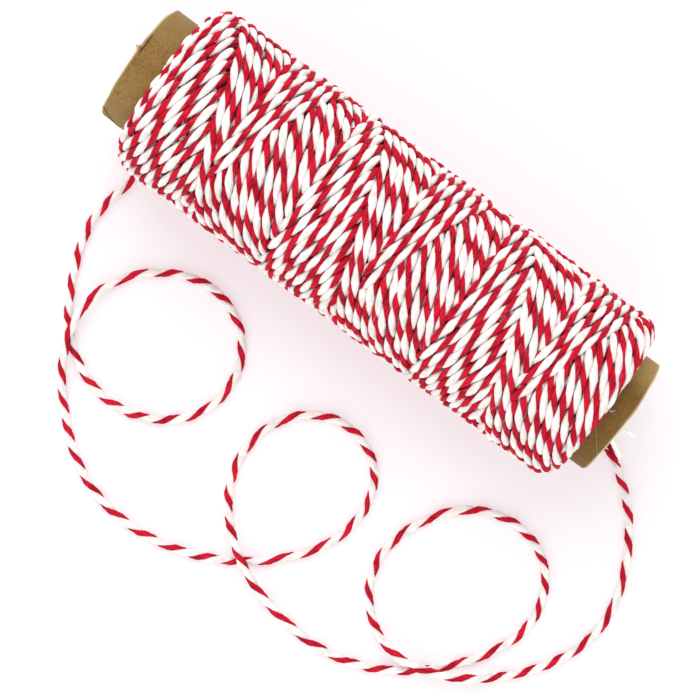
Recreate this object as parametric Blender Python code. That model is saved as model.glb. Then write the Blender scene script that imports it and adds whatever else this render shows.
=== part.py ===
"""A spool of two-ply cotton twine: a card tube, the cross-wound twine on it and the loose end.

X runs along the spool, Z is up, and the spool rests on the floor at Z = 0 with the middle of its
tube above the origin. The twine is wound in strokes that run to and fro along the spool. Angles
around the spool start at its top and grow towards +Y. A rising strand moves towards +X as its
angle grows, and a falling strand towards -X.
"""

import math

import bmesh
import bpy
import numpy as np

MM = 0.001
CLEARANCE = 0.3 * MM

# Card tube
TUBE_LENGTH = 128.3 * MM
TUBE_BORE_RADIUS = 12.7 * MM
TUBE_WALL = 1.1 * MM
TUBE_EDGE = 0.2 * MM
TUBE_SIDES = 72

# Twine and its winding
TWINE_DIAMETER = 2.0 * MM
STRANDS_PER_TURN = 19
TURN_PITCH = 39.0 * MM
STRAND_PITCH = TURN_PITCH / STRANDS_PER_TURN
NEWEST_RISING = 6.6 * MM
NEWEST_FALLING = NEWEST_RISING - 5 * STRAND_PITCH

# Wound body
WOUND_LEFT = -57.0 * MM
WOUND_RIGHT = 58.5 * MM
WOUND_RADIUS = 20.8 * MM
GROOVE_DEPTH = 0.8 * MM
OLDEST_DROP = 0.7 * MM
WOUND_BORE_RADIUS = TUBE_BORE_RADIUS + TUBE_WALL + CLEARANCE
LEFT_SHOULDER_LENGTH = 5.5 * MM
LEFT_SHOULDER_DROP = 5.0 * MM
RIGHT_SHOULDER_LENGTH = 3.2 * MM
RIGHT_SHOULDER_DROP = 4.0 * MM
FLAT_SPOT_DEPTH = 0.4 * MM
AXIS_HEIGHT = WOUND_RADIUS - FLAT_SPOT_DEPTH

# The wound surface is a lattice with two columns for each strand, so that every crossing of a
# rising and a falling strand is a vertex, and every hollow between strands is one too.
COLUMNS = 2 * STRANDS_PER_TURN
ROW_STEP = STRAND_PITCH / 2
FLAT_COLUMNS = 1

# Loose end: places on the floor in millimetres, in the order in which the twine passes them
ROUTE_MM = (
    (-51.3, -10.4), (-53.2, -22.0), (-54.9, -33.0), (-51.5, -45.5), (-45.4, -55.7),
    (-34.0, -63.3), (-20.0, -62.8), (-9.0, -52.0), (-10.0, -38.5), (-21.5, -30.5),
    (-36.0, -34.5), (-44.5, -47.5), (-43.0, -59.5), (-34.0, -72.5), (-20.0, -82.0),
    (-3.0, -83.5), (11.0, -79.2), (24.0, -69.8), (32.3, -55.0), (29.5, -42.0),
    (17.0, -37.2), (4.7, -47.0), (4.7, -62.5), (15.5, -74.3), (31.0, -80.2),
    (47.0, -80.2), (61.5, -73.4), (73.0, -61.0), (77.5, -47.0), (71.0, -35.0),
    (57.0, -33.2), (44.3, -45.0), (42.5, -60.5), (54.0, -71.2), (69.0, -68.9),
    (82.5, -58.5), (90.7, -40.5), (87.0, -25.0), (77.0, -12.0), (65.0, -4.5),
)
ROUTE_STEPS = 79
FINE_STEPS = 24
FLOOR_CLEARANCE = 0.02 * MM

# Where the loose end passes over itself: how far along it the crossing is, and how much of it
# stays at full height on each side of the crossing
CROSSINGS_MM = (
    {"along": 160.9, "level": 5.5},
    {"along": 340.3, "level": 3.0},
    {"along": 509.6, "level": 6.5},
)
HUMP_HEIGHT = TWINE_DIAMETER + CLEARANCE
HUMP_RAMP = 13.0 * MM

# Finishes: colour, roughness
CARD = ((0.38, 0.21, 0.078), 0.85)
WOUND_COTTON = ((0.86, 0.50, 0.53), 0.9)
LOOSE_COTTON = ((0.90, 0.62, 0.63), 0.9)


def clear_scene():
    for thing in list(bpy.data.objects):
        bpy.data.objects.remove(thing, do_unlink=True)


def give_material(thing, name, finish):
    colour, roughness = finish
    material = bpy.data.materials.new(name)
    material.use_nodes = True
    shader = material.node_tree.nodes["Principled BSDF"]
    shader.inputs["Base Color"].default_value = (*colour, 1.0)
    shader.inputs["Roughness"].default_value = roughness
    shader.inputs["Metallic"].default_value = 0.0
    material.diffuse_color = (*colour, 1.0)
    thing.data.materials.append(material)


def add_mesh_object(name, bm, finish, sharp_angle):
    """Turns the finished bmesh into a named object on the spool's axis."""
    bmesh.ops.recalc_face_normals(bm, faces=bm.faces[:])
    mesh = bpy.data.meshes.new(name)
    bm.to_mesh(mesh)
    bm.free()
    mesh.shade_smooth()
    mesh.set_sharp_from_angle(angle=sharp_angle)
    thing = bpy.data.objects.new(name, mesh)
    thing.location = (0.0, 0.0, AXIS_HEIGHT)
    bpy.context.scene.collection.objects.link(thing)
    give_material(thing, name + "_finish", finish)
    return thing


def point_on_spool(along, radius, angle):
    """A point seen from the spool's own axis; angle zero is the top."""
    return (along, radius * math.sin(angle), radius * math.cos(angle))


def add_ring(bm, along, radius, sides):
    turn = 2 * math.pi / sides
    return [bm.verts.new(point_on_spool(along, radius, turn * i)) for i in range(sides)]


def bridge_rings(bm, first, second):
    sides = len(first)
    for i in range(sides):
        j = (i + 1) % sides
        bm.faces.new((first[i], first[j], second[j], second[i]))


def make_core_tube():
    """The tube's wall, turned from its section with a small chamfer at each rim."""
    half = TUBE_LENGTH / 2
    outer = TUBE_BORE_RADIUS + TUBE_WALL
    bore = TUBE_BORE_RADIUS
    section = (
        (half - TUBE_EDGE, outer),
        (half, outer - TUBE_EDGE),
        (half, bore + TUBE_EDGE),
        (half - TUBE_EDGE, bore),
        (TUBE_EDGE - half, bore),
        (-half, bore + TUBE_EDGE),
        (-half, outer - TUBE_EDGE),
        (TUBE_EDGE - half, outer),
    )
    bm = bmesh.new()
    rings = [add_ring(bm, along, radius, TUBE_SIDES) for along, radius in section]
    for i, ring in enumerate(rings):
        bridge_rings(bm, ring, rings[(i + 1) % len(rings)])
    return add_mesh_object("core_tube", bm, CARD, math.radians(40))


def strand_ages(along, angle):
    """How many strands of each direction were laid after the one that passes a place."""
    advance = TURN_PITCH * angle / (2 * math.pi)
    half = STRAND_PITCH / 2
    rising = (NEWEST_RISING + half - along + advance) / STRAND_PITCH
    falling = (along + advance - NEWEST_FALLING + half) / STRAND_PITCH
    return rising % STRANDS_PER_TURN, falling % STRANDS_PER_TURN


def rising_on_top(along, angle):
    """Whether the strand seen at a place is a rising one: the one laid later hides the other."""
    rising_age, falling_age = strand_ages(along, angle)
    return rising_age < falling_age


def shoulder_drop(along):
    """How far the winding falls away from its full radius near its two ends."""
    left = max(0.0, 1 - (along - WOUND_LEFT) / LEFT_SHOULDER_LENGTH)
    right = max(0.0, 1 - (WOUND_RIGHT - along) / RIGHT_SHOULDER_LENGTH)
    return LEFT_SHOULDER_DROP * left**2 + RIGHT_SHOULDER_DROP * right**2


def wound_radius(row, column, along):
    """Ridges run through the strands' crossings, and strands laid later stand a little higher."""
    angle = 2 * math.pi * column / COLUMNS
    groove = GROOVE_DEPTH * ((row + column) % 2)
    older = OLDEST_DROP * min(strand_ages(along, angle)) / STRANDS_PER_TURN
    return WOUND_RADIUS - groove - older - shoulder_drop(along)


def flatten_underside(bm_verts, along):
    """Lets the lowest columns of one row lie on the floor, and keeps the shoulders above it."""
    lowest = COLUMNS // 2
    between_shoulders = (
        WOUND_LEFT + LEFT_SHOULDER_LENGTH < along < WOUND_RIGHT - RIGHT_SHOULDER_LENGTH
    )
    for column in range(lowest - FLAT_COLUMNS, lowest + FLAT_COLUMNS + 1):
        place = bm_verts[column].co
        if between_shoulders:
            place.y = WOUND_RADIUS * math.sin(2 * math.pi * column / COLUMNS)
            place.z = -AXIS_HEIGHT
        place.z = max(place.z, -AXIS_HEIGHT)


def make_wound_twine():
    """The wound body. Each face of the lattice is split along the strand that shows there."""
    first_row = math.ceil((WOUND_LEFT + ROW_STEP / 2 - NEWEST_RISING) / ROW_STEP)
    last_row = math.floor((WOUND_RIGHT - ROW_STEP / 2 - NEWEST_RISING) / ROW_STEP)
    turn = 2 * math.pi / COLUMNS
    bm = bmesh.new()
    rows = []
    places = []
    for row in range(first_row, last_row + 1):
        along = NEWEST_RISING + row * ROW_STEP
        verts = [
            bm.verts.new(point_on_spool(along, wound_radius(row, column, along), turn * column))
            for column in range(COLUMNS)
        ]
        flatten_underside(verts, along)
        rows.append(verts)
        places.append(along)
    for low, high, along in zip(rows, rows[1:], places):
        for column in range(COLUMNS):
            after = (column + 1) % COLUMNS
            near, beside = low[column], low[after]
            far, across = high[column], high[after]
            if rising_on_top(along + ROW_STEP / 2, turn * (column + 0.5)):
                bm.faces.new((near, beside, across))
                bm.faces.new((near, across, far))
            else:
                bm.faces.new((near, beside, far))
                bm.faces.new((beside, across, far))
    left_rim = add_ring(bm, WOUND_LEFT, WOUND_RADIUS - LEFT_SHOULDER_DROP, COLUMNS)
    right_rim = add_ring(bm, WOUND_RIGHT, WOUND_RADIUS - RIGHT_SHOULDER_DROP, COLUMNS)
    left_bore = add_ring(bm, WOUND_LEFT, WOUND_BORE_RADIUS, COLUMNS)
    right_bore = add_ring(bm, WOUND_RIGHT, WOUND_BORE_RADIUS, COLUMNS)
    bridge_rings(bm, left_rim, rows[0])
    bridge_rings(bm, rows[-1], right_rim)
    bridge_rings(bm, right_rim, right_bore)
    bridge_rings(bm, right_bore, left_bore)
    bridge_rings(bm, left_bore, left_rim)
    return add_mesh_object("wound_twine", bm, WOUND_COTTON, math.radians(50))


def smooth_curve(points, steps):
    """A natural cubic spline through the points, with the given steps in each span."""
    points = np.array(points, dtype=float)
    spans = np.linalg.norm(np.diff(points, axis=0), axis=1)
    size = len(points)
    matrix = np.eye(size)
    bends = np.zeros_like(points)
    for i in range(1, size - 1):
        before, after = spans[i - 1], spans[i]
        matrix[i, i - 1 : i + 2] = (before, 2 * (before + after), after)
        slope_before = (points[i] - points[i - 1]) / before
        slope_after = (points[i + 1] - points[i]) / after
        bends[i] = 6 * (slope_after - slope_before)
    bends = np.linalg.solve(matrix, bends)
    curve = []
    for i, span in enumerate(spans):
        for t in np.linspace(0.0, span, steps, endpoint=False):
            rest = span - t
            curve.append(
                (bends[i] * rest**3 + bends[i + 1] * t**3) / (6 * span)
                + (points[i] / span - bends[i] * span / 6) * rest
                + (points[i + 1] / span - bends[i + 1] * span / 6) * t
            )
    curve.append(points[-1])
    return np.array(curve)


def hump(distance):
    """How far the twine is lifted where it passes over itself."""
    height = 0.0
    for crossing in CROSSINGS_MM:
        past = abs(distance - crossing["along"] * MM) - crossing["level"] * MM
        if past < HUMP_RAMP:
            rise = (1 + math.cos(math.pi * max(0.0, past) / HUMP_RAMP)) / 2
            height = max(height, HUMP_HEIGHT * rise)
    return height


def loose_end_points():
    """Evenly spaced points on the middle line of the loose end."""
    flat = smooth_curve(ROUTE_MM, FINE_STEPS) * MM
    travelled = np.concatenate(
        ([0.0], np.cumsum(np.linalg.norm(np.diff(flat, axis=0), axis=1)))
    )
    distances = np.linspace(0.0, travelled[-1], ROUTE_STEPS + 1)
    xs = np.interp(distances, travelled, flat[:, 0])
    ys = np.interp(distances, travelled, flat[:, 1])
    floor_level = TWINE_DIAMETER / 2 + FLOOR_CLEARANCE
    return [(x, y, floor_level + hump(d)) for x, y, d in zip(xs, ys, distances)]


def make_loose_end():
    points = loose_end_points()
    curve = bpy.data.curves.new("loose_end", "CURVE")
    curve.dimensions = "3D"
    curve.bevel_depth = TWINE_DIAMETER / 2
    curve.bevel_resolution = 2
    curve.use_fill_caps = True
    spline = curve.splines.new("POLY")
    spline.points.add(len(points) - 1)
    for spline_point, place in zip(spline.points, points):
        spline_point.co = (*place, 1.0)
    thing = bpy.data.objects.new("loose_end", curve)
    bpy.context.scene.collection.objects.link(thing)
    give_material(thing, "loose_end_finish", LOOSE_COTTON)
    return thing


clear_scene()
make_core_tube()
make_wound_twine()
make_loose_end()
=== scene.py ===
"""The looks of the spool of cotton twine: its strands, its loose end, card tube and studio.

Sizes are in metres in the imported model's frame: X along the spool, Z up, the floor at Z = 0.
Angles around the spool start at its top and grow towards +Y. The twine is wound in strokes: a
rising stroke moves towards +X as its angle grows, and the falling stroke after it comes back.
"""

import math

import bpy
import numpy as np
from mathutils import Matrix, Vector


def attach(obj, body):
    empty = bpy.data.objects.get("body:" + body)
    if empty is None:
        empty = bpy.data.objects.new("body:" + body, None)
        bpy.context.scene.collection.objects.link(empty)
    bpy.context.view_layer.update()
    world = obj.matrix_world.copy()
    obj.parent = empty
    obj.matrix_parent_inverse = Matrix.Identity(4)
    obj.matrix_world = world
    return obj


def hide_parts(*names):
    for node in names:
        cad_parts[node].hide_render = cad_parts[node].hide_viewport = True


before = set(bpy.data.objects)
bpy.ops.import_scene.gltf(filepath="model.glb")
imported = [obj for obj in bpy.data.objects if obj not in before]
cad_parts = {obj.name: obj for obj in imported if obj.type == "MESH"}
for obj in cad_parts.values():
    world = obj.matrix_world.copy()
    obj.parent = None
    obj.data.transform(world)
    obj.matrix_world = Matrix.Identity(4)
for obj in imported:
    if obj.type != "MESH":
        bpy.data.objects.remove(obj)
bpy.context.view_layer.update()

MM = 0.001
FULL_TURN = 2 * math.pi

# Card tube
TUBE_LENGTH = 128.3 * MM
TUBE_BORE_RADIUS = 12.7 * MM
TUBE_WALL = 1.1 * MM
TUBE_RADIUS = TUBE_BORE_RADIUS + TUBE_WALL
AXIS_HEIGHT = 20.4 * MM

# Winding: its turns, and where strokes would turn back if their corners were sharp. Roundings are
# in radians of turn, and the half width of a crossing is in strand pitches.
TURN_PITCH = 39.0 * MM
SLOPE = TURN_PITCH / FULL_TURN
STRANDS_PER_TURN = 19
STRAND_PITCH = TURN_PITCH / STRANDS_PER_TURN
NEWEST_RISING = 6.3 * MM
NEWEST_FALLING = -4.4 * MM
RIGHT_CORNER = (NEWEST_RISING + NEWEST_FALLING + 3 * TURN_PITCH) / 2
LEFT_CORNER = (NEWEST_RISING + NEWEST_FALLING + STRAND_PITCH - 3 * TURN_PITCH) / 2
STROKE_ANGLE = (RIGHT_CORNER - LEFT_CORNER) / SLOPE
OLDEST_ANGLE = (LEFT_CORNER - NEWEST_RISING) / SLOPE - (STRANDS_PER_TURN - 1) * 2 * STROKE_ANGLE
NEWEST_ANGLE = (2 * RIGHT_CORNER - LEFT_CORNER - NEWEST_RISING) / SLOPE
RIGHT_ROUNDING = 0.38
LEFT_ROUNDING = 0.55
LEFT_SPREAD = {"from": -38.0 * MM, "length": 15.0 * MM, "spread": 1.25 * MM}
CROSSING_HALF_WIDTH = 0.65
NEWEST_SINKS = -30.0 * MM

# Radius of the strands' middle lines, below and above a crossing, in the two double layers, and
# how far round the inner one starts, in radians
OUTER_LAYER = (18.15 * MM, 19.75 * MM)
INNER_LAYER = (14.95 * MM, 16.55 * MM)
INNER_LAYER_TURN = 2.0
FULL_RADIUS = 20.7 * MM
LEFT_SHOULDER = {"edge": -57.6 * MM, "length": 5.5 * MM, "drop": 4.6 * MM}
RIGHT_SHOULDER = {"edge": 59.2 * MM, "length": 3.2 * MM, "drop": 4.0 * MM}
INNER_SHOWS_LEFT = -48.0 * MM
INNER_SHOWS_RIGHT = 52.5 * MM
DEPTH_RADIUS = 17.2 * MM

# Twine: two plies twisted left-handed, each an ellipse cut off where it meets the other
TWINE_DIAMETER = 2.0 * MM
TWISTS_PER_TURN = 15.65
FIRST_TWIST = -0.2
LOOSE_LAY = 7.6 * MM
WOUND_PLIES = {
    "seam": (0.175 * MM, 0.60 * MM),
    "white": {"middle": -0.33 * MM, "width": 0.69 * MM, "height": 0.88 * MM},
    "red": {"middle": 0.48 * MM, "width": 0.51 * MM, "height": 0.749 * MM},
}
LOOSE_PLIES = {
    "seam": (0.22 * MM, 0.56 * MM),
    "white": {"middle": -0.32 * MM, "width": 0.68 * MM, "height": 0.89 * MM},
    "red": {"middle": 0.50 * MM, "width": 0.49 * MM, "height": 0.72 * MM},
}
PLY_ROUGHNESS = 0.016
SHARP_SEAM = math.radians(48)
WOUND_STEP = 0.67 * MM
LOOSE_STEP = 0.35 * MM
OUTER_PIECES = 4

# Loose end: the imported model's own route, places on the floor in millimetres
ROUTE_MM = (
    (-51.3, -10.4), (-53.2, -22.0), (-54.9, -33.0), (-51.5, -45.5), (-45.4, -55.7),
    (-34.0, -63.3), (-20.0, -62.8), (-9.0, -52.0), (-10.0, -38.5), (-21.5, -30.5),
    (-36.0, -34.5), (-44.5, -47.5), (-43.0, -59.5), (-34.0, -72.5), (-20.0, -82.0),
    (-3.0, -83.5), (11.0, -79.2), (24.0, -69.8), (32.3, -55.0), (29.5, -42.0),
    (17.0, -37.2), (4.7, -47.0), (4.7, -62.5), (15.5, -74.3), (31.0, -80.2),
    (47.0, -80.2), (61.5, -73.4), (73.0, -61.0), (77.5, -47.0), (71.0, -35.0),
    (57.0, -33.2), (44.3, -45.0), (42.5, -60.5), (54.0, -71.2), (69.0, -68.9),
    (82.5, -58.5), (90.7, -40.5), (87.0, -25.0), (77.0, -12.0), (65.0, -4.5),
)
CROSSINGS_MM = (
    {"along": 160.9, "level": 5.5},
    {"along": 340.3, "level": 3.0},
    {"along": 509.6, "level": 6.5},
)
HUMP_HEIGHT = TWINE_DIAMETER + 0.3 * MM
HUMP_RAMP = 13.0 * MM
FLOOR_LEVEL = TWINE_DIAMETER / 2 + 0.02 * MM
FINE_STEPS = 24

# Last turn: from the left corner it runs under the spool, and leaves it there along the floor
LAST_TURN_END = 9 * math.pi
LAST_TURN_PLACE = ROUTE_MM[0][0] * MM
UNDER_SPOOL = -ROUTE_MM[0][1] * MM

# Slow wanderings: how far they reach, over what length, and their seed. The lengths of the two
# swells are counted in rings of a strand, and the reach of the twists is in turns.
WANDERINGS = {
    "place": {"reach": 0.13 * MM, "length": 61 * MM, "seed": 11},
    "radius": {"reach": 0.07 * MM, "length": 47 * MM, "seed": 12},
    "wound_twist": {"reach": 0.16, "length": 260 * MM, "seed": 13},
    "wound_fullness": {"reach": 0.03, "length": 33 * MM, "seed": 14},
    "loose_twist": {"reach": 0.25, "length": 190 * MM, "seed": 6},
    "loose_fullness": {"reach": 0.02, "length": 31 * MM, "seed": 5},
    "white_swell": {"reach": 0.05, "length": 23.0, "seed": 31},
    "red_swell": {"reach": 0.05, "length": 19.0, "seed": 32},
}


def wander(distance, name):
    """A slow, even wandering about zero: the sum of four waves."""
    kind = WANDERINGS[name]
    draw = np.random.default_rng(kind["seed"])
    total = np.zeros_like(distance)
    for share in (1.0, 0.63, 0.41, 0.27):
        wave = distance / (kind["length"] * share)
        total += np.sin(FULL_TURN * wave + draw.uniform(0, FULL_TURN))
    return kind["reach"] * total / math.sqrt(2)


def smooth_step(value):
    value = np.clip(value, 0.0, 1.0)
    return value * value * (3 - 2 * value)


def unit(vectors):
    return vectors / np.linalg.norm(vectors, axis=-1, keepdims=True)


def travelled_along(points):
    steps = np.linalg.norm(np.diff(points, axis=0), axis=1)
    return np.concatenate(([0.0], np.cumsum(steps)))


# Finishes


def new_material(name, colour, roughness, sheen):
    material = bpy.data.materials.new(name)
    material.use_nodes = True
    shader = material.node_tree.nodes["Principled BSDF"]
    shader.inputs["Base Color"].default_value = (*colour, 1.0)
    shader.inputs["Roughness"].default_value = roughness
    shader.inputs["Sheen Weight"].default_value = sheen
    shader.inputs["Sheen Roughness"].default_value = 0.6
    shader.inputs["Specular IOR Level"].default_value = 0.25
    return material, shader


def add_node(material, kind, inputs=None, **settings):
    """A shader node with its settings and the values or links of its inputs."""
    node = material.node_tree.nodes.new(kind)
    for setting, value in settings.items():
        setattr(node, setting, value)
    for name, value in (inputs or {}).items():
        if isinstance(value, bpy.types.NodeSocket):
            material.node_tree.links.new(value, node.inputs[name])
        else:
            node.inputs[name].default_value = value
    return node


def maths(material, operation, first, second=0.0, third=0.0):
    values = {0: first, 1: second, 2: third}
    return add_node(material, "ShaderNodeMath", values, operation=operation).outputs[0]


def noise(material, place, scale, detail, roughness=0.5):
    inputs = {"Vector": place, "Scale": scale, "Detail": detail, "Roughness": roughness}
    return add_node(material, "ShaderNodeTexNoise", inputs).outputs["Fac"]


def ramp(material, value, low, high, top=1.0):
    """A share that grows from zero at the low value to its top at the high one."""
    inputs = {"Value": value, "From Min": low, "From Max": high, "To Max": top}
    return add_node(material, "ShaderNodeMapRange", inputs).outputs["Result"]


def object_place(material):
    return add_node(material, "ShaderNodeTexCoord").outputs["Object"]


def stored_share(material, name):
    """A share that is stored on the points of the mesh."""
    return add_node(material, "ShaderNodeAttribute", attribute_name=name).outputs["Fac"]


def mixed_colour(material, share, first, second):
    """A colour between two, by a share that is a link. The first may be a link too."""
    if not isinstance(first, bpy.types.NodeSocket):
        first = (*first, 1.0)
    inputs = {"Factor": share, "A": first, "B": (*second, 1.0)}
    return add_node(material, "ShaderNodeMix", inputs, data_type="RGBA").outputs["Result"]


def link(material, output, shader, name):
    material.node_tree.links.new(output, shader.inputs[name])


def raise_surface(material, shader, height, strength, depth):
    inputs = {"Height": height, "Strength": strength, "Distance": depth}
    bump = add_node(material, "ShaderNodeBump", inputs)
    link(material, bump.outputs["Normal"], shader, "Normal")


WHITE_COTTON = {
    "light": (0.915, 0.893, 0.88), "deep": (0.67, 0.622, 0.612), "softness": 0.40, "sheen": 0.10,
}
RED_COTTON = {
    "light": (0.63, 0.007, 0.034), "deep": (0.19, 0.0005, 0.004), "softness": 0.12, "sheen": 0.02,
}
FIBRE_SLANT = -1.25
FINE_FIBRES = {"along": 5.0, "across": 42.0}
COARSE_FIBRES = {"along": 2.6, "across": 15.0}


def fibre_noise(material, along, across, fibres):
    """Noise drawn out along the fibres of a ply."""
    inputs = {
        "X": maths(material, "MULTIPLY", along, fibres["along"]),
        "Y": maths(material, "MULTIPLY", across, fibres["across"]),
    }
    place = add_node(material, "ShaderNodeCombineXYZ", inputs).outputs["Vector"]
    return noise(material, place, 1.0, 3.0, 0.6)


def cotton_material(name, cotton):
    """One ply's cotton: fine fibres along the twine, slow changes of tone, and a soft depth."""
    material, shader = new_material(name, cotton["light"], 0.85, cotton["sheen"])
    shader.inputs["Specular IOR Level"].default_value = 0.12
    shader.inputs["Subsurface Weight"].default_value = cotton["softness"]
    shader.inputs["Subsurface Radius"].default_value = (1.0, 0.8, 0.75)
    shader.inputs["Subsurface Scale"].default_value = 0.5 * MM
    uv = add_node(material, "ShaderNodeUVMap", uv_map="fibres").outputs["UV"]
    parts = add_node(material, "ShaderNodeSeparateXYZ", {"Vector": uv})
    along, around = parts.outputs["X"], parts.outputs["Y"]
    across = maths(material, "MULTIPLY_ADD", along, FIBRE_SLANT, around)
    fine = fibre_noise(material, along, across, FINE_FIBRES)
    coarse = fibre_noise(material, along, across, COARSE_FIBRES)
    fibres = maths(material, "MULTIPLY_ADD", fine, 0.5, maths(material, "MULTIPLY", coarse, 0.5))
    slubs = noise(material, object_place(material), 420.0, 2.0)
    tone = maths(material, "MULTIPLY_ADD", fibres, 0.72, maths(material, "MULTIPLY", slubs, 0.28))
    share = ramp(material, tone, 0.38, 0.56)
    colour = mixed_colour(material, share, cotton["deep"], cotton["light"])
    link(material, colour, shader, "Base Color")
    height = maths(material, "MULTIPLY_ADD", slubs, 0.3, fibres)
    raise_surface(material, shader, height, 0.8, 0.11 * MM)
    return material


def fluff_material():
    """Loose white fibres. They glow a little, painted light for the light that passes through them,
    so they look lighter than solid cotton.
    """
    material, shader = new_material("white_fluff", (0.95, 0.93, 0.91), 0.9, 0.1)
    shader.inputs["Emission Color"].default_value = (1.0, 0.97, 0.94, 1.0)
    shader.inputs["Emission Strength"].default_value = 0.35
    return material


def shaded_cotton_material():
    """The deeper turns that only show as dark hints between the strands."""
    material, shader = new_material("shaded_cotton", (0.50, 0.28, 0.28), 0.95, 0.05)
    mottle = noise(material, object_place(material), 330.0, 3.0)
    share = ramp(material, mottle, 0.4, 0.6)
    colour = mixed_colour(material, share, (0.50, 0.04, 0.06), (0.74, 0.66, 0.64))
    link(material, colour, shader, "Base Color")
    return material


CARD_COLOURS = {
    "dark": (0.165, 0.088, 0.018),
    "light": (0.285, 0.168, 0.044),
    # Painted shade: a darker brown for the shade beside the winding on the tube's right end
    "painted_shade": (0.115, 0.046, 0.003),
    # Painted light: a paler brown for the tube's sides, where the light falls on them
    "painted_light": (0.42, 0.27, 0.10),
    "speck": (0.09, 0.045, 0.012),
    # A pale cream for the tube's rims and beside the seam's lapped edge
    "pale_edge": (0.78, 0.66, 0.42),
    "crack": (0.055, 0.03, 0.012),
}
PULP_STRETCH = (1400.0, 2400.0, 2400.0)


def card_material():
    """Kraft card: pulp and specks, painted shade and painted light, pale edges, and dark cracks."""
    material, shader = new_material("kraft_card", (0.36, 0.22, 0.09), 0.82, 0.08)
    place = object_place(material)
    blotches = noise(material, place, 260.0, 5.0)
    mapping = {"Vector": place, "Scale": PULP_STRETCH}
    stretched = add_node(material, "ShaderNodeMapping", mapping).outputs["Vector"]
    pulp = noise(material, stretched, 1.0, 4.0)
    tone = maths(material, "MULTIPLY_ADD", blotches, 0.3, maths(material, "MULTIPLY", pulp, 0.7))
    share = ramp(material, tone, 0.36, 0.64)
    colour = mixed_colour(material, share, CARD_COLOURS["dark"], CARD_COLOURS["light"])
    speck_share = ramp(material, noise(material, place, 1900.0, 1.0), 0.66, 0.74, 0.55)
    for name in ("painted_shade", "painted_light", "speck", "pale_edge", "crack"):
        share = speck_share if name == "speck" else stored_share(material, name)
        colour = mixed_colour(material, share, colour, CARD_COLOURS[name])
    link(material, colour, shader, "Base Color")
    height = maths(material, "MULTIPLY_ADD", pulp, 0.8, maths(material, "MULTIPLY", blotches, 0.5))
    raise_surface(material, shader, height, 0.35, 0.05 * MM)
    return material


# Meshes from arrays


def strip_faces(rings, sides, start):
    """Quads between rings of corners, and one cap at each end, as corner numbers."""
    ring = np.arange(rings - 1)[:, None] * sides + start
    side = np.arange(sides)[None, :]
    after = (side + 1) % sides
    quads = np.stack((ring + side, ring + after, ring + sides + after, ring + sides + side), -1)
    last = start + (rings - 1) * sides
    caps = [list(range(start + sides - 1, start - 1, -1)), list(range(last, last + sides))]
    return quads.reshape(-1, 4), caps


def build_mesh(name, points, quads, caps, quad_slots, cap_slots, materials, maps=()):
    """A smooth mesh object from arrays. Maps pairs a name with a place for each quad corner."""
    mesh = bpy.data.meshes.new(name)
    corners = np.concatenate([quads.reshape(-1)] + [np.array(cap) for cap in caps])
    sizes = np.array([4] * len(quads) + [len(cap) for cap in caps], np.int32)
    starts = np.concatenate(([0], np.cumsum(sizes)[:-1])).astype(np.int32)
    mesh.vertices.add(len(points))
    mesh.vertices.foreach_set("co", points.astype(np.float32).reshape(-1))
    mesh.loops.add(len(corners))
    mesh.loops.foreach_set("vertex_index", corners.astype(np.int32))
    mesh.polygons.add(len(sizes))
    mesh.polygons.foreach_set("loop_start", starts)
    mesh.update(calc_edges=True)
    for map_name, places in maps:
        layer = mesh.uv_layers.new(name=map_name)
        flat = np.zeros(2 * len(corners), np.float32)
        flat[: places.size] = places.reshape(-1)
        layer.data.foreach_set("uv", flat)
    for material in materials:
        mesh.materials.append(material)
    slots = np.concatenate((quad_slots, cap_slots)).astype(np.int32)
    mesh.polygons.foreach_set("material_index", slots)
    mesh.shade_smooth()
    thing = bpy.data.objects.new(name, mesh)
    bpy.context.scene.collection.objects.link(thing)
    return thing


def dress(thing, slot, *nodes):
    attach(thing, "root")
    if nodes:
        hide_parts(*nodes)
    return thing


# Twine


def ply_arc(ply, count, first, last):
    angles = np.linspace(first, last, count + 2)[1:-1]
    return [
        (ply["middle"] + ply["width"] * math.cos(a), ply["height"] * math.sin(a)) for a in angles
    ]


def twine_section(plies, white_count, red_count):
    """The outline of the two plies, and whether each of its edges is white."""
    (seam, height), white, red = plies["seam"], plies["white"], plies["red"]
    white_reach = math.acos((seam - white["middle"]) / white["width"])
    red_reach = math.acos((seam - red["middle"]) / red["width"])
    outline = [
        (seam, height),
        *ply_arc(white, white_count, white_reach, FULL_TURN - white_reach),
        (seam, -height),
        *ply_arc(red, red_count, -red_reach, red_reach),
    ]
    is_white = [True] * (white_count + 1) + [False] * (red_count + 1)
    return np.array(outline), np.array(is_white)


WOUND_SECTION = twine_section(WOUND_PLIES, 6, 4)
LOOSE_SECTION = twine_section(LOOSE_PLIES, 9, 7)


def ply_fullness(rings, outline):
    """Each ply swells and thins by itself, and its surface is a little uneven."""
    ring = np.arange(rings, dtype=float)
    white = wander(ring, "white_swell")
    red = wander(ring, "red_swell")
    share = np.clip(0.5 - outline[:, 0] / (0.5 * MM), 0.0, 1.0)
    swell = red[:, None] * (1 - share) + white[:, None] * share
    rough = np.random.default_rng(33).normal(0.0, PLY_ROUGHNESS, (rings, len(outline)))
    return 1 + swell + rough


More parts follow.
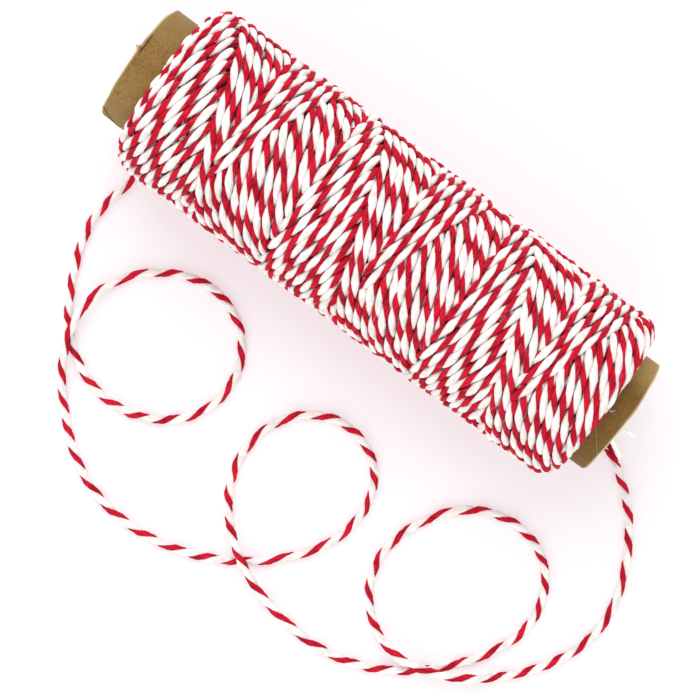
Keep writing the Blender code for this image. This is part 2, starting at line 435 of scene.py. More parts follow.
def twine_rings(run, outline):
    """Corners of the rings round a strand. Its twists are in turns, and left-handed."""
    centres = run["centres"]
    along = unit(np.gradient(centres, axis=0))
    outward = run["outward"]
    normal = unit(outward - along * np.sum(outward * along, axis=1, keepdims=True))
    beside = np.cross(along, normal)
    angle = -FULL_TURN * run["twists"]
    cos, sin = np.cos(angle)[:, None], np.sin(angle)[:, None]
    fullness = run["fullness"][:, None] * ply_fullness(len(centres), outline)
    across = (outline[:, 0] * cos - outline[:, 1] * sin) * fullness
    over = (outline[:, 0] * sin + outline[:, 1] * cos) * fullness
    rings = centres[:, None, :] + across[..., None] * normal[:, None, :]
    rings = rings + over[..., None] * beside[:, None, :]
    rings[..., 2] = np.maximum(rings[..., 2], 0.0)
    return rings


BAKE_ROW = 180 * MM


def bake_rows(run):
    """How many rows of the bake map a run takes up."""
    return math.ceil(run["travelled"][-1] / BAKE_ROW) + 1


def strand_maps(runs, sides):
    """Places for each quad corner: along and round the strand, and the same laid out in rows."""
    rows_needed = sum(bake_rows(run) for run in runs)
    first_row = 0
    fibre_parts, row_parts = [], []
    side = np.arange(sides)[None, :]
    for run in runs:
        low, high = run["travelled"][:-1, None], run["travelled"][1:, None]
        row = np.floor(low / BAKE_ROW)
        fibre_corners, row_corners = [], []
        for distance, edge in ((low, side), (low, side + 1), (high, side + 1), (high, side)):
            distance, edge = np.broadcast_arrays(distance, edge / sides)
            fibre_corners.append(np.stack((distance * 100, edge), -1))
            in_row = 0.002 + 0.99 * (distance - row * BAKE_ROW) / BAKE_ROW
            in_column = (first_row + row + 0.1 + 0.8 * edge) / rows_needed
            row_corners.append(np.stack((in_row, in_column), -1))
        fibre_parts.append(np.stack(fibre_corners, 2).reshape(-1, 2))
        row_parts.append(np.stack(row_corners, 2).reshape(-1, 2))
        first_row += bake_rows(run)
    return (
        ("fibres", np.concatenate(fibre_parts)),
        ("OFBake", np.clip(np.concatenate(row_parts), 0.0, 1.0)),
    )


def add_strands(name, runs, section, materials):
    """One object for several stretches of twine."""
    outline, is_white = section
    sides = len(outline)
    points, quads, caps, slots = [], [], [], []
    start = 0
    for run in runs:
        run["rings"] = twine_rings(run, outline)
        run["travelled"] = travelled_along(run["centres"])
        strip, ends = strip_faces(len(run["rings"]), sides, start)
        points.append(run["rings"].reshape(-1, 3))
        quads.append(strip)
        caps += ends
        slots.append(np.tile(np.where(is_white, 0, 1), len(run["rings"]) - 1))
        start += run["rings"].shape[0] * sides
    thing = build_mesh(
        name, np.concatenate(points), np.concatenate(quads), caps,
        np.concatenate(slots), np.zeros(len(caps)), materials, strand_maps(runs, sides),
    )
    thing.data.set_sharp_from_angle(angle=SHARP_SEAM)
    return thing


def hump(distance):
    """How far the twine is lifted where it passes over itself."""
    height = np.zeros_like(distance)
    for crossing in CROSSINGS_MM:
        past = np.abs(distance - crossing["along"] * MM) - crossing["level"] * MM
        rise = (1 + np.cos(math.pi * np.clip(past / HUMP_RAMP, 0, 1))) / 2
        height = np.maximum(height, HUMP_HEIGHT * rise)
    return height


def smooth_curve(points, steps):
    """A natural cubic spline through the points, with the given steps in each span."""
    points = np.array(points, dtype=float)
    spans = np.linalg.norm(np.diff(points, axis=0), axis=1)
    size = len(points)
    matrix = np.eye(size)
    bends = np.zeros_like(points)
    for i in range(1, size - 1):
        before, after = spans[i - 1], spans[i]
        matrix[i, i - 1 : i + 2] = (before, 2 * (before + after), after)
        slope_before = (points[i] - points[i - 1]) / before
        slope_after = (points[i + 1] - points[i]) / after
        bends[i] = 6 * (slope_after - slope_before)
    bends = np.linalg.solve(matrix, bends)
    curve = []
    for i, span in enumerate(spans):
        for t in np.linspace(0.0, span, steps, endpoint=False):
            rest = span - t
            curve.append(
                (bends[i] * rest**3 + bends[i + 1] * t**3) / (6 * span)
                + (points[i] / span - bends[i] * span / 6) * rest
                + (points[i + 1] / span - bends[i + 1] * span / 6) * t
            )
    curve.append(points[-1])
    return np.array(curve)


def loose_run():
    """The loose end from the underside of the spool to its bare end by the tube's rim."""
    flat = smooth_curve(ROUTE_MM, FINE_STEPS) * MM
    travelled = travelled_along(flat)
    distances = np.linspace(0.0, travelled[-1], int(travelled[-1] / LOOSE_STEP) + 1)
    xs = np.interp(distances, travelled, flat[:, 0])
    ys = np.interp(distances, travelled, flat[:, 1])
    to_spool = UNDER_SPOOL + distances
    return {
        "centres": np.column_stack((xs, ys, FLOOR_LEVEL + hump(distances))),
        "outward": np.tile((0.0, 0.0, -1.0), (len(xs), 1)),
        "twists": loose_twists(to_spool),
        "fullness": 1 + wander(distances, "loose_fullness"),
        "length": travelled[-1],
    }


def loose_twists(to_spool):
    """Twists of the twine that lies on the floor, counted on from the last turn's."""
    ease = wander(to_spool, "loose_twist") - wander(np.zeros(1), "loose_twist")
    return wound_twists(np.array([LAST_TURN_END])) + to_spool / LOOSE_LAY + ease


# Winding


def stroke_place(turned):
    """Where along the spool the twine is, and whether it rises, after turning so far.

    The angle turned is zero where the newest rising stroke passes NEWEST_RISING.
    """
    from_right = turned - (RIGHT_CORNER - NEWEST_RISING) / SLOPE
    from_right = (from_right + STROKE_ANGLE) % (2 * STROKE_ANGLE) - STROKE_ANGLE
    near_right = np.abs(from_right)
    near_left = STROKE_ANGLE - near_right
    rounded_right = near_right**2 / (2 * RIGHT_ROUNDING) + RIGHT_ROUNDING / 2
    rounded_left = near_left**2 / (2 * LEFT_ROUNDING) + LEFT_ROUNDING / 2
    back_from_right = np.where(near_right < RIGHT_ROUNDING, rounded_right, near_right)
    back_from_left = np.where(near_left < LEFT_ROUNDING, rounded_left, near_left)
    place = np.where(
        near_right < near_left,
        RIGHT_CORNER - SLOPE * back_from_right,
        LEFT_CORNER + SLOPE * back_from_left,
    )
    return place, from_right < 0


def crossing_height(turned, place, rising):
    """0 where a strand passes under the strands that it crosses, and 1 where it passes over.

    A newer stroke passes over an older one, and the two newest falling strokes over every rising
    one. Near the left the newest falling stroke is pushed under instead.
    """
    age = STRANDS_PER_TURN - 1 - np.floor((turned - OLDEST_ANGLE) / (2 * STROKE_ANGLE))
    half = STRAND_PITCH / 2
    advance = SLOPE * turned
    falling_age = (place + advance - NEWEST_FALLING + half) / STRAND_PITCH % STRANDS_PER_TURN
    rising_age = (NEWEST_RISING + half - place + advance) / STRAND_PITCH % STRANDS_PER_TURN
    other = np.where(rising, falling_age, rising_age)
    begins = np.where(rising, np.maximum(age + 1, 2), np.where(age < 2, 0, age))
    sunk = place < NEWEST_SINKS
    first = np.where(rising & sunk, 1, 0)
    over = np.minimum(other - begins, STRANDS_PER_TURN + first - other)
    under = np.minimum(other - first, begins - other)
    inside = np.where(other > begins, over, -under)
    height = smooth_step(0.5 + inside / (2 * CROSSING_HALF_WIDTH))
    height = np.where(begins < 0.5, 1.0, height)
    return np.where(~rising & sunk & (age < 0.5), 0.0, height)


def shoulder_drop(place):
    """How far the winding falls away from its full radius near its two ends."""
    left = (LEFT_SHOULDER["edge"] - place) / LEFT_SHOULDER["length"] + 1
    right = (place - RIGHT_SHOULDER["edge"]) / RIGHT_SHOULDER["length"] + 1
    left_drop = LEFT_SHOULDER["drop"] * np.clip(left, 0, 1) ** 2
    return left_drop + RIGHT_SHOULDER["drop"] * np.clip(right, 0, 1) ** 2


def wound_twists(turned):
    distance = turned * OUTER_LAYER[1]
    twists = FIRST_TWIST + TWISTS_PER_TURN * turned / FULL_TURN
    return twists + wander(distance, "wound_twist")


def spool_run(turned, place, height, layer, layer_turn, leaving=0.0):
    """A stretch of wound twine. Leaving is the share of its way to the floor."""
    distance = turned * OUTER_LAYER[1]
    staying = 1 - leaving
    spread = smooth_step((LEFT_SPREAD["from"] - place) / LEFT_SPREAD["length"])
    place = place - LEFT_SPREAD["spread"] * spread * staying
    place = place + wander(distance, "place") * staying
    room = (FULL_RADIUS - shoulder_drop(place) - TUBE_RADIUS) / (FULL_RADIUS - TUBE_RADIUS)
    radius = layer[0] + (layer[1] - layer[0]) * height
    radius = TUBE_RADIUS + (radius - TUBE_RADIUS) * room
    radius = radius + wander(distance, "radius") * staying
    radius = radius + (AXIS_HEIGHT - FLOOR_LEVEL - radius) * leaving
    angle = turned + layer_turn
    outward = np.column_stack((0 * angle, np.sin(angle), np.cos(angle)))
    centres = outward * radius[:, None] + (0.0, 0.0, AXIS_HEIGHT)
    centres[:, 0] += place
    return {
        "centres": centres,
        "outward": outward,
        "twists": wound_twists(turned),
        "fullness": 1 + wander(distance, "wound_fullness"),
    }


def turned_steps(low, high):
    step = WOUND_STEP / math.hypot(OUTER_LAYER[1], SLOPE)
    return np.linspace(low, high, round((high - low) / step) + 1)


def last_turn():
    """The newest twine turns back at the left, runs under the spool and on along the floor."""
    turned = turned_steps(NEWEST_ANGLE, LAST_TURN_END)
    leaving = smooth_step((turned - NEWEST_ANGLE) / (LAST_TURN_END - NEWEST_ANGLE))
    corner, _ = stroke_place(np.array([NEWEST_ANGLE]))
    place = corner + (LAST_TURN_PLACE - corner) * leaving
    run = spool_run(turned, place, np.ones_like(turned), OUTER_LAYER, 0.0, leaving)
    steps = np.arange(1, round(UNDER_SPOOL / WOUND_STEP) + 1) / round(UNDER_SPOOL / WOUND_STEP)
    floor = {
        "centres": np.column_stack((
            np.full_like(steps, LAST_TURN_PLACE), -UNDER_SPOOL * steps,
            np.full_like(steps, FLOOR_LEVEL),
        )),
        "outward": np.tile((0.0, 0.0, -1.0), (len(steps), 1)),
        "twists": loose_twists(UNDER_SPOOL * steps),
        "fullness": np.ones_like(steps),
    }
    return {key: np.concatenate((run[key], floor[key])) for key in run}


def outer_runs():
    """The outer double layer, cut into equal stretches of one unbroken length of twine."""
    cuts = np.linspace(OLDEST_ANGLE, NEWEST_ANGLE, OUTER_PIECES + 1)
    runs = []
    for low, high in zip(cuts, cuts[1:]):
        turned = turned_steps(low, high)
        place, rising = stroke_place(turned)
        height = crossing_height(turned, place, rising)
        runs.append(spool_run(turned, place, height, OUTER_LAYER, 0.0))
    return runs


def inner_runs():
    """The older turns, only where they show at the two ends of the winding."""
    turned = turned_steps(OLDEST_ANGLE, NEWEST_ANGLE)
    place, rising = stroke_place(turned)
    height = crossing_height(turned, place, rising)
    shows = (place < INNER_SHOWS_LEFT) | (place > INNER_SHOWS_RIGHT)
    changes = np.flatnonzero(np.diff(shows.astype(int))) + 1
    runs = []
    for part in np.split(np.arange(len(turned)), changes):
        if shows[part[0]] and len(part) > 4:
            stretch = (turned[part], place[part], height[part])
            runs.append(spool_run(*stretch, INNER_LAYER, INNER_LAYER_TURN))
    return runs


DEPTH_SIDES = 96
DEPTH_STEPS = 8


def depth_profile():
    """Places along the spool with the radius of the deeper turns there, from left to right."""
    inner = TUBE_RADIUS + 0.1 * MM
    return (
        (LEFT_CORNER + 2.2 * MM, inner),
        (LEFT_CORNER + 2.4 * MM, inner + 0.4 * MM),
        (INNER_SHOWS_LEFT - 1.0 * MM, inner + 1.1 * MM),
        (INNER_SHOWS_LEFT + 1.5 * MM, DEPTH_RADIUS),
        (INNER_SHOWS_RIGHT - 1.5 * MM, DEPTH_RADIUS),
        (INNER_SHOWS_RIGHT + 1.0 * MM, inner + 1.1 * MM),
        (RIGHT_CORNER - 2.8 * MM, inner + 0.4 * MM),
        (RIGHT_CORNER - 2.6 * MM, inner),
    )


def add_depth(material):
    """The deeper turns as one turned body below the strands, which closes the gaps between them."""
    profile = depth_profile()
    inner = profile[0][1]
    angle = np.linspace(0, FULL_TURN, DEPTH_SIDES, endpoint=False)
    rings = []
    for (place, radius), (next_place, next_radius) in zip(profile, profile[1:]):
        for t in np.linspace(0, 1, DEPTH_STEPS, endpoint=False):
            here = place + (next_place - place) * t
            wide = radius + (next_radius - radius) * t
            rows = np.sin(STRANDS_PER_TURN * (angle + here / SLOPE))
            wide = wide + 0.1 * MM * rows * (wide > inner + 0.2 * MM)
            rings.append(np.column_stack((
                np.full(DEPTH_SIDES, here), -wide * np.sin(angle),
                AXIS_HEIGHT + wide * np.cos(angle),
            )))
    quads, _ = strip_faces(len(rings) + 1, DEPTH_SIDES, 0)
    quads = quads % (len(rings) * DEPTH_SIDES)
    return build_mesh(
        "wound_depth", np.concatenate(rings), quads, [], np.zeros(len(quads)), [], [material]
    )


# Loose fibres

WOUND_FUZZ = {"count": 1300, "reach": 1.0, "radius": 0.016 * MM, "white_share": 0.6}
LOOSE_FUZZ = {"count": 900, "reach": 0.8, "radius": 0.014 * MM, "white_share": 0.65}
FUZZ_START = 0.86 * MM
FUZZ_LENGTH = (0.7 * MM, 2.6 * MM)
BRUSHES = {
    "white": {"spread": (0.25 * MM, 0.34 * MM), "count": 300, "seed": 71},
    "red": {"spread": (0.26 * MM, 0.26 * MM), "count": 340, "seed": 73},
    "wisp": {"spread": (0.10 * MM, 0.16 * MM), "count": 18, "seed": 72},
    "tail": {"spread": (0.10 * MM, 0.10 * MM), "count": 4, "seed": 75},
    "caught": {"spread": (0.10 * MM, 0.14 * MM), "count": 22, "seed": 74},
}
FRAYED_RADIUS = 0.045 * MM
CAUGHT_RADIUS = 0.03 * MM
WISP_START = (68.9 * MM, -1.1 * MM, 2.6 * MM)
WISP_END = (71.7 * MM, -0.7 * MM, 2.0 * MM)
CAUGHT_AT = (60.2 * MM, -0.9 * MM, AXIS_HEIGHT + TUBE_RADIUS + 0.15 * MM)
CAUGHT_REACH = (0.5 * MM, 0.38 * MM, 0.0)


def add_fibres(name, paths, radius, slots, materials):
    """Thin three-sided fibres along paths that all have the same number of points."""
    count, steps, _ = paths.shape
    along = unit(np.gradient(paths, axis=1))
    side = unit(np.cross(along, (0.31, 0.52, 0.79)))
    third = np.cross(along, side)
    taper = np.linspace(1.0, 0.35, steps)[None, :, None] * radius
    corners = []
    for angle in (0.0, FULL_TURN / 3, 2 * FULL_TURN / 3):
        corners.append(paths + (side * math.cos(angle) + third * math.sin(angle)) * taper)
    rings = np.stack(corners, axis=2)
    rings[..., 2] = np.maximum(rings[..., 2], 0.0)
    strip, ends = strip_faces(steps, 3, 0)
    starts = np.arange(count) * steps * 3
    quads = (strip[None] + starts[:, None, None]).reshape(-1, 4)
    caps = (np.array(ends)[None] + starts[:, None, None]).reshape(-1, 3)
    places = np.random.default_rng(91).uniform(0, 9, (count, 1, 1, 2))
    places = np.broadcast_to(places, (count, len(strip), 4, 2))
    return build_mesh(
        name, rings.reshape(-1, 3), quads, caps,
        np.repeat(slots, len(strip)), np.repeat(slots, 2), materials, [("fibres", places)],
    )


def fuzz_paths(run, fuzz, seed):
    """Short fibres that stand off a strand, most of them nearly along it."""
    draw = np.random.default_rng(seed)
    centres = run["centres"]
    count = fuzz["count"]
    at = draw.integers(2, len(centres) - 2, count)
    along = unit(centres[at + 1] - centres[at - 1]) * draw.choice((-1.0, 1.0), count)[:, None]
    outward = run["outward"][at]
    beside = np.cross(along, outward)
    lean = draw.uniform(-1.3, 1.3, count)[:, None]
    away = outward * np.cos(lean) + beside * np.sin(lean)
    length = draw.uniform(*FUZZ_LENGTH, count)[:, None] * fuzz["reach"]
    lift = draw.uniform(0.08, 0.45, count)[:, None]
    curl = draw.normal(0.0, 0.35, (count, 3))
    steps = []
    for t in (0.0, 0.33, 0.67, 1.0):
        here = centres[at] + away * FUZZ_START
        here = here + length * (along * t + away * lift * t * (1.3 - 0.5 * t) + curl * t * t * 0.5)
        steps.append(here)
    return np.stack(steps, axis=1)


def add_fuzz(name, paths, fuzz, seed, materials):
    shares = (fuzz["white_share"], 1 - fuzz["white_share"])
    slots = np.random.default_rng(seed).choice((0, 1), len(paths), p=shares)
    return dress(add_fibres(name, paths, fuzz["radius"], slots, materials), "twine")


def add_wound_fuzz(runs, materials):
    """Stray fibres over the wound twine."""
    paths = [fuzz_paths(run, WOUND_FUZZ, 50 + i) for i, run in enumerate(runs)]
    return add_fuzz("wound_fuzz", np.concatenate(paths), WOUND_FUZZ, 60, materials)


def add_loose_fuzz(run, materials):
    """Stray fibres along the loose end."""
    return add_fuzz("loose_fuzz", fuzz_paths(run, LOOSE_FUZZ, 61), LOOSE_FUZZ, 62, materials)


def brush_paths(name, base, ends, bend):
    """A brush of fibres from round a base line to round an end line, bent by a shift."""
    brush = BRUSHES[name]
    draw = np.random.default_rng(brush["seed"])
    count, spread = brush["count"], brush["spread"]
    t = draw.uniform(0, 1, count)[:, None]
    base, ends = np.array(base), np.array(ends)
    start = base[0] + (base[1] - base[0]) * t + draw.normal(0, 1, (count, 3)) * spread[0]
    end = ends[0] + (ends[1] - ends[0]) * t + draw.normal(0, 1, (count, 3)) * spread[1]
    middle = (start + end) / 2 + bend + draw.normal(0, 1, (count, 3)) * spread[1] * 0.4
    steps = []
    for share in np.linspace(0, 1, 6):
        steps.append(
            start * (1 - share) ** 2 + middle * 2 * share * (1 - share) + end * share**2
        )
    paths = np.stack(steps, axis=1)
    paths[..., 2] = np.maximum(paths[..., 2], 0.02 * MM)
    return paths


def add_frayed_end(run, materials):
    """At the cut end the white ply opens into fluff on one side, and the red one spreads."""
    tip = run["centres"][-1]
    back = unit(run["centres"][-12] - tip)
    beside = np.array((-back[1], back[0], 0.0))
    up = np.array((0.0, 0.0, 1.0))

    def from_tip(backward, sideways, upward):
        """A place near the cut end, by distances in millimetres."""
        return tip + (backward * back + sideways * beside + upward * up) * MM

    white = brush_paths(
        "white",
        (from_tip(8.0, 0.4, 0.0), from_tip(0.5, 0.5, 0.0)),
        (from_tip(5.6, 1.3, 0.0), from_tip(-1.4, 1.6, 0.5)),
        (0.4 * beside + 0.4 * up) * MM,
    )
    red = brush_paths(
        "red",
        (from_tip(6.6, 0.3, 0.3), from_tip(2.0, 0.0, 0.5)),
        (from_tip(3.6, 0.2, 0.9), from_tip(-0.6, -0.1, 0.7)),
        0.7 * MM * up,
    )
    start, end = np.array(WISP_START), np.array(WISP_END)
    wisp = brush_paths(
        "wisp",
        (start, 0.75 * start + 0.25 * end),
        (end, 0.2 * start + 0.8 * end),
        0.3 * MM * up,
    )
    tail = brush_paths("tail", (from_tip(2.5, 1.2, 0.6), start), (start, start), 0.2 * MM * up)
    paths = np.concatenate((white, wisp, tail, red))
    slots = np.array([0] * (len(white) + len(wisp) + len(tail)) + [1] * len(red))
    return dress(add_fibres("frayed_end", paths, FRAYED_RADIUS, slots, materials), "twine")


def add_caught_fluff(materials):
    """A tuft of white fluff caught where the tube comes out of the winding."""
    place, across = np.array(CAUGHT_AT), np.array(CAUGHT_REACH)
    paths = brush_paths(
        "caught", (place - across, place + across), (place + across, place - across),
        (0.0, 0.0, 0.2 * MM),
    )
    slots = np.zeros(len(paths), int)
    dress(add_fibres("caught_fluff", paths, CAUGHT_RADIUS, slots, materials), "twine")


# Card tube

SEAM_PITCH = 10.42 * MM
SEAM_AT_RIGHT = -0.873
SEAM = {"depth": 0.10 * MM, "width": 0.13 * MM, "lap": 0.07 * MM, "lap_reach": 1.6 * MM}
RIM_ROUNDING = 0.3 * MM
RIM_ROWS_MM = (
    0.0, 0.05, 0.14, 0.28, 0.42, 0.56, 0.66, 0.72, 0.78, 0.84, 0.94,
    1.1, 1.4, 1.8, 2.3, 2.9, 3.6, 4.4, 5.3, 6.3, 7.4, 8.6,
)
SEAM_COLUMNS_MM = (-0.9, -0.55, -0.32, -0.18, -0.08, 0.0, 0.08, 0.18, 0.32, 0.55, 0.9)
CRACK_COLUMNS = {"first": 1.10, "last": 1.66, "step": 0.02}
COLUMN_STEP = 0.065
# Painted shade on the tube's right end, fading out towards +Y, where the light comes from; painted
# light on the tube's sides, most on the +Y side of its right end
PAINTED_SHADE = {"from": 50 * MM, "length": 8 * MM, "until": 0.25, "fades": 0.5, "share": 0.5}
PAINTED_LIGHT = {"left": 0.22, "right": 0.6, "from": 0.3, "grows": 0.6}

# Faults near the left rim: the seam springs open, the card's top layer cracks along the rim and
# lifts there, the rim bulges, and a burr and a nick are side by side on it. Angles and their
# widths are in radians.
SPLIT = {
    "from": -57.0 * MM, "length": 3.0 * MM, "depth": 0.32 * MM, "widens": 0.12 * MM,
    "lifts": 0.22 * MM, "lift_reach": 1.1 * MM,
}
CRACK = {
    "from_rim": 0.75 * MM, "wanders": 0.10 * MM, "first": 0.03, "last": 0.44,
    "depth": 0.34 * MM, "width": 0.075 * MM, "lifts": 0.16 * MM,
}
BURR = {"angle": 0.12, "width": 0.03, "reach": 0.55 * MM, "dark_width": 0.022}
NICK = {"angle": 0.19, "width": 0.04, "reach": -0.22 * MM}
BULGE = {"angle": 0.75, "width": 0.22, "reach": 0.25 * MM}


def bell(distance, width):
    """A smooth bump of height one."""
    return np.exp(-((distance / width) ** 2))


def tube_rows():
    """Places along the outside, a rim, the bore and the other rim, as rows of (place, radius)."""
    half = TUBE_LENGTH / 2
    near = np.array(RIM_ROWS_MM) * MM
    middle = np.linspace(-half + near[-1], half - near[-1], 76)[1:-1]
    outside = np.concatenate((-half + near, middle, half - near[::-1]))
    from_rim = half - np.abs(outside)
    corner = np.sqrt(np.clip(1 - (1 - from_rim / RIM_ROUNDING) ** 2, 0, 1))
    radius = TUBE_RADIUS - RIM_ROUNDING * (1 - np.where(from_rim < RIM_ROUNDING, corner, 1.0))
    rows = list(zip(outside, radius))
    layers = np.linspace(TUBE_RADIUS - RIM_ROUNDING, TUBE_BORE_RADIUS + 0.12 * MM, 9)[1:]
    step = np.where(np.arange(8) % 2 == 0, 0.05, 0.0) * MM
    right_face = [(half - s, r) for s, r in zip(step, layers)]
    bore = [(x, TUBE_BORE_RADIUS) for x in np.linspace(half - 0.2 * MM, -half + 0.2 * MM, 60)]
    left_face = [(-half + s, r) for s, r in zip(step[::-1], layers[::-1])]
    return np.array(rows + right_face + bore + left_face)


def tube_columns():
    """Angles round the tube from its seam: close together at the seam and along the crack."""
    seam = np.array(SEAM_COLUMNS_MM) * MM / TUBE_RADIUS
    crack = np.arange(CRACK_COLUMNS["first"], CRACK_COLUMNS["last"], CRACK_COLUMNS["step"])
    between = np.arange(seam[-1], crack[0], COLUMN_STEP)[1:]
    others = np.arange(crack[-1], FULL_TURN + seam[0], COLUMN_STEP)[1:-1]
    return np.concatenate((seam, between, crack, others))


def tube_grid():
    """For all corners of the tube, as rows by columns: where they lie, and what they are near."""
    rows, columns = tube_rows(), tube_columns()
    place, radius = rows[:, :1], rows[:, 1:]
    seam_angle = SEAM_AT_RIGHT - (place - TUBE_LENGTH / 2) / SEAM_PITCH
    angle = seam_angle + columns[None, :]
    from_seam = (columns[None, :] + math.pi) % FULL_TURN - math.pi
    return {
        "place": place,
        "radius": radius,
        "angle": angle,
        "turned": (angle + math.pi) % FULL_TURN - math.pi,
        "from_seam": from_seam * TUBE_RADIUS,
        "from_rim": TUBE_LENGTH / 2 - np.abs(place),
        "is_left": place < 0,
        "is_outside": radius > TUBE_RADIUS - RIM_ROUNDING - 0.02 * MM,
        "split": smooth_step((SPLIT["from"] - place) / SPLIT["length"]),
    }


def seam_groove(grid):
    """How much of the seam's groove is at each corner. It is wider where the seam springs open."""
    return bell(grid["from_seam"], SEAM["width"] + SPLIT["widens"] * grid["split"])


def crack_shares(grid):
    """How much of the crack, and of the layer that lifts beside it, is at each corner."""
    turned, from_rim = grid["turned"], grid["from_rim"]
    reached = smooth_step((turned - CRACK["first"]) / 0.08)
    reached = reached * smooth_step((CRACK["last"] - turned) / 0.12)
    reached = reached * grid["is_left"] * grid["is_outside"]
    line = CRACK["from_rim"] + CRACK["wanders"] * np.sin(turned * 9.0)
    return reached * bell(from_rim - line, CRACK["width"]), reached * (from_rim < line)


def tube_relief(grid):
    """How far each corner stands above the plain tube: warp, lapped seam, and crack."""
    place, turned, from_seam = grid["place"], grid["turned"], grid["from_seam"]
    split = grid["split"]
    warp = np.sin(3 * turned + place / (9 * MM)) + np.sin(5 * turned - place / (6 * MM))
    depth = SEAM["depth"] + (SPLIT["depth"] - SEAM["depth"]) * split
    lap = SEAM["lap"] * np.exp(-np.abs(from_seam) / SEAM["lap_reach"])
    lifted = SPLIT["lifts"] * split * np.exp(-np.abs(from_seam) / SPLIT["lift_reach"])
    lap = lap * (from_seam > 0.1 * MM) + lifted * (from_seam < -0.1 * MM)
    relief = 0.05 * MM * warp + lap - depth * seam_groove(grid)
    crack, flap = crack_shares(grid)
    relief = np.where(grid["is_outside"], relief, 0.0)
    return relief - CRACK["depth"] * crack + CRACK["lifts"] * flap


def rim_shift(grid):
    """How far the uneven rims carry each corner outwards along the spool."""
    turned, is_left = grid["turned"], grid["is_left"]
    wave = 0.09 * np.sin(4 * turned + 1.0) + 0.06 * np.sin(9 * turned) + 0.05 * np.sin(17 * turned)
    reach = wave * MM
    reach = reach + BULGE["reach"] * bell(turned - BULGE["angle"], BULGE["width"]) * is_left
    for fault in (BURR, NICK):
        share = bell(turned - fault["angle"], fault["width"]) * is_left * grid["is_outside"]
        reach = reach + fault["reach"] * share
    near_rim = np.clip(1 - grid["from_rim"] / (1.0 * MM), 0, 1)
    return np.sign(grid["place"]) * near_rim * reach


def card_shares(grid):
    """The shares that the card's finish reads: pale edges, cracks, painted shade and painted light.
    """
    place, turned, from_rim = grid["place"], grid["turned"], grid["from_rim"]
    is_outside = grid["is_outside"]
    patchy = 0.75 + 0.25 * np.sin(11 * turned + 2.0) * np.sin(6 * turned)
    # Paler along the rims and beside the lapped edge of the seam
    pale_edge = np.clip(1.25 - from_rim / (0.40 * MM), 0, 1) * 0.95 * patchy * is_outside
    pale_edge = np.maximum(pale_edge, 0.6 * (~is_outside) * (from_rim < 0.1 * MM))
    pale_edge = pale_edge + 0.35 * is_outside * bell(grid["from_seam"] - 0.25 * MM, 0.12 * MM)
    uneven = np.random.default_rng(81).normal(0, 0.03, pale_edge.shape)
    groove = (0.75 + 0.25 * grid["split"]) * seam_groove(grid) * is_outside
    burr = bell(turned - BURR["angle"], BURR["dark_width"]) * (from_rim < 0.1 * MM)
    burr = burr * grid["is_left"] * is_outside
    crack = np.maximum(np.maximum(crack_shares(grid)[0], groove), 0.8 * burr)
    # Painted shade at the right end, and painted light on the sides, where the light falls
    painted_shade = smooth_step((place - PAINTED_SHADE["from"]) / PAINTED_SHADE["length"])
    painted_shade = painted_shade * (1 - smooth_step((turned - PAINTED_SHADE["until"]) / PAINTED_SHADE["fades"]))
    painted_light = smooth_step((turned - PAINTED_LIGHT["from"]) / PAINTED_LIGHT["grows"])
    painted_light = PAINTED_LIGHT["left"] * (place < 0) + PAINTED_LIGHT["right"] * (place > 0) * painted_light
    painted_light = painted_light * smooth_step((np.abs(turned) - 0.1) / 0.5) * is_outside
    return {
        "pale_edge": np.clip(pale_edge + uneven * (pale_edge > 0.05), 0, 1),
        "crack": np.clip(crack, 0, 1),
        "painted_shade": PAINTED_SHADE["share"] * painted_shade,
        "painted_light": painted_light,
    }


def add_tube(material):
    """The spirally wound card tube, with its seam, uneven pale rims and the faults near its left
    rim.
    """
    grid = tube_grid()
    wide = grid["radius"] + tube_relief(grid)
    angle = grid["angle"]
    points = np.stack((
        grid["place"] + rim_shift(grid), wide * np.sin(angle), AXIS_HEIGHT + wide * np.cos(angle)
    ), axis=-1)
    row_count, column_count = angle.shape
    quads, _ = strip_faces(row_count + 1, column_count, 0)
    quads = quads[:, ::-1] % (row_count * column_count)
    thing = build_mesh(
        "card_tube", points.reshape(-1, 3), quads, [], np.zeros(len(quads)), [], [material]
    )
    for name, share in card_shares(grid).items():
        layer = thing.data.attributes.new(name, "FLOAT", "POINT")
        values = np.broadcast_to(share, angle.shape).astype(np.float32)
        layer.data.foreach_set("value", values.ravel())
    thing.data.set_sharp_from_angle(angle=math.radians(50))
    return dress(thing, "card", "core_tube")


# Studio

# Camera: it looks straight down. Its lens and sensor are in millimetres.
CAMERA_PLACE = (0.00875, -0.02305, 0.478)
CAMERA_TURN = math.radians(36.43)
CAMERA_LENS = 109.54
CAMERA_SENSOR = 36.0

# Lights and floor
LIGHT_COLOUR = (1.0, 0.985, 0.966)
WORLD_STRENGTH = 0.85
KEY_LIGHT = {"place": (-0.50, 0.60, 0.95), "size": 1.1, "power": 8.2}
FILL_LIGHT = {"place": (0.25, -0.80, 0.50), "size": 0.9, "power": 3.0}
FLOOR_REACH = 3.0
# The floor's colour and its pink glow: painted light that lifts and tints the shade on the floor
FLOOR_COLOURS = ((0.41, 0.555, 0.56), (0.43, 0.565, 0.58))
FLOOR_PAINTED_GLOW = (0.54, 0.365, 0.385)


def add_camera():
    data = bpy.data.cameras.new("camera")
    data.sensor_width = CAMERA_SENSOR
    data.lens = CAMERA_LENS
    data.clip_start = 0.01
    data.clip_end = 20.0
    camera = bpy.data.objects.new("camera", data)
    camera.location = CAMERA_PLACE
    camera.rotation_euler = (0.0, 0.0, CAMERA_TURN)
    bpy.context.scene.collection.objects.link(camera)
    bpy.context.scene.camera = camera


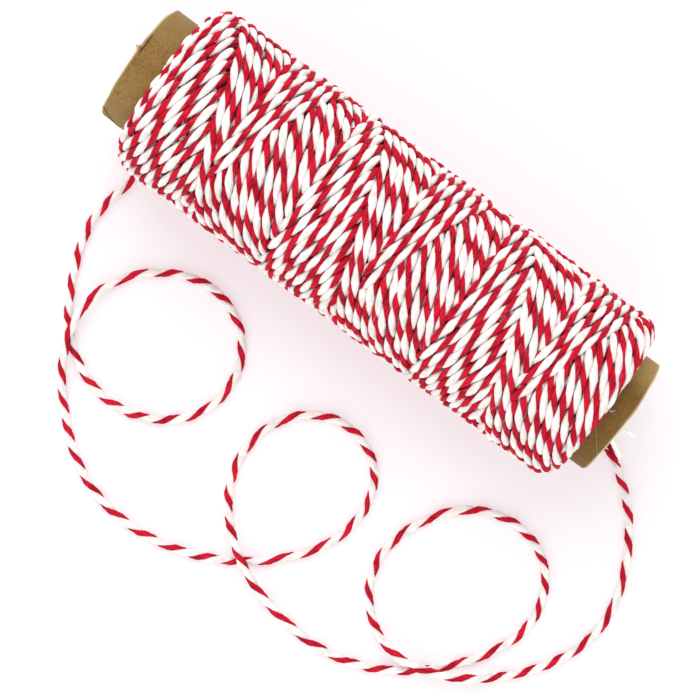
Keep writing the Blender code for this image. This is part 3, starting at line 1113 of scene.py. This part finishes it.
def add_floor():
    """White paper of a bluish-green colour that glows pink: the glow is painted light, which lifts
    the shade around the spool and tints it pink, while in full light the two add up to white.
    """
    corners = [
        (x * FLOOR_REACH, y * FLOOR_REACH, 0) for x, y in ((-1, -1), (1, -1), (1, 1), (-1, 1))
    ]
    mesh = bpy.data.meshes.new("floor")
    mesh.from_pydata(corners, [], [(0, 1, 2, 3)])
    floor = bpy.data.objects.new("floor", mesh)
    bpy.context.scene.collection.objects.link(floor)
    material, shader = new_material("floor_paper", FLOOR_COLOURS[0], 0.9, 0.0)
    shader.inputs["Emission Color"].default_value = (*FLOOR_PAINTED_GLOW, 1.0)
    shader.inputs["Emission Strength"].default_value = 1.0
    tone = noise(material, object_place(material), 6.0, 2.0)
    link(material, mixed_colour(material, tone, *FLOOR_COLOURS), shader, "Base Color")
    mesh.materials.append(material)


def add_area_light(name, light):
    """A round light that points at the origin."""
    data = bpy.data.lights.new(name, "AREA")
    data.shape = "DISK"
    data.size = light["size"]
    data.energy = light["power"]
    data.color = LIGHT_COLOUR
    lamp = bpy.data.objects.new(name, data)
    lamp.location = light["place"]
    lamp.rotation_euler = (-Vector(light["place"])).to_track_quat("-Z", "Y").to_euler()
    bpy.context.scene.collection.objects.link(lamp)


def add_world():
    world = bpy.data.worlds.new("studio")
    world.use_nodes = True
    background = world.node_tree.nodes["Background"]
    background.inputs["Color"].default_value = (*LIGHT_COLOUR, 1.0)
    background.inputs["Strength"].default_value = WORLD_STRENGTH
    bpy.context.scene.world = world


# The whole scene

add_camera()
white_cotton = cotton_material("white_cotton", WHITE_COTTON)
red_cotton = cotton_material("red_cotton", RED_COTTON)
cotton = [white_cotton, red_cotton]
fluff = [fluff_material(), red_cotton]

loose = loose_run()
loose_twine = dress(
    add_strands("loose_twine", [loose], LOOSE_SECTION, cotton), "twine", "loose_end"
)
loose_fuzz = add_loose_fuzz(loose, cotton)
frayed_end = add_frayed_end(loose, fluff)

wound = outer_runs()
for number, run in enumerate(wound, 1):
    dress(
        add_strands(f"wound_strands_{number}", [run], WOUND_SECTION, cotton),
        "twine", "wound_twine",
    )
dress(add_strands("last_turn", [last_turn()], WOUND_SECTION, cotton), "twine", "wound_twine")
dress(add_strands("inner_turns", inner_runs(), WOUND_SECTION, cotton), "twine", "wound_twine")
dress(add_depth(shaded_cotton_material()), "twine", "wound_twine")

add_wound_fuzz(wound, cotton)
add_caught_fluff([white_cotton])
add_tube(card_material())

bpy.context.scene.view_settings.view_transform = "Standard"
add_floor()
add_world()
add_area_light("key", KEY_LIGHT)
add_area_light("fill", FILL_LIGHT)
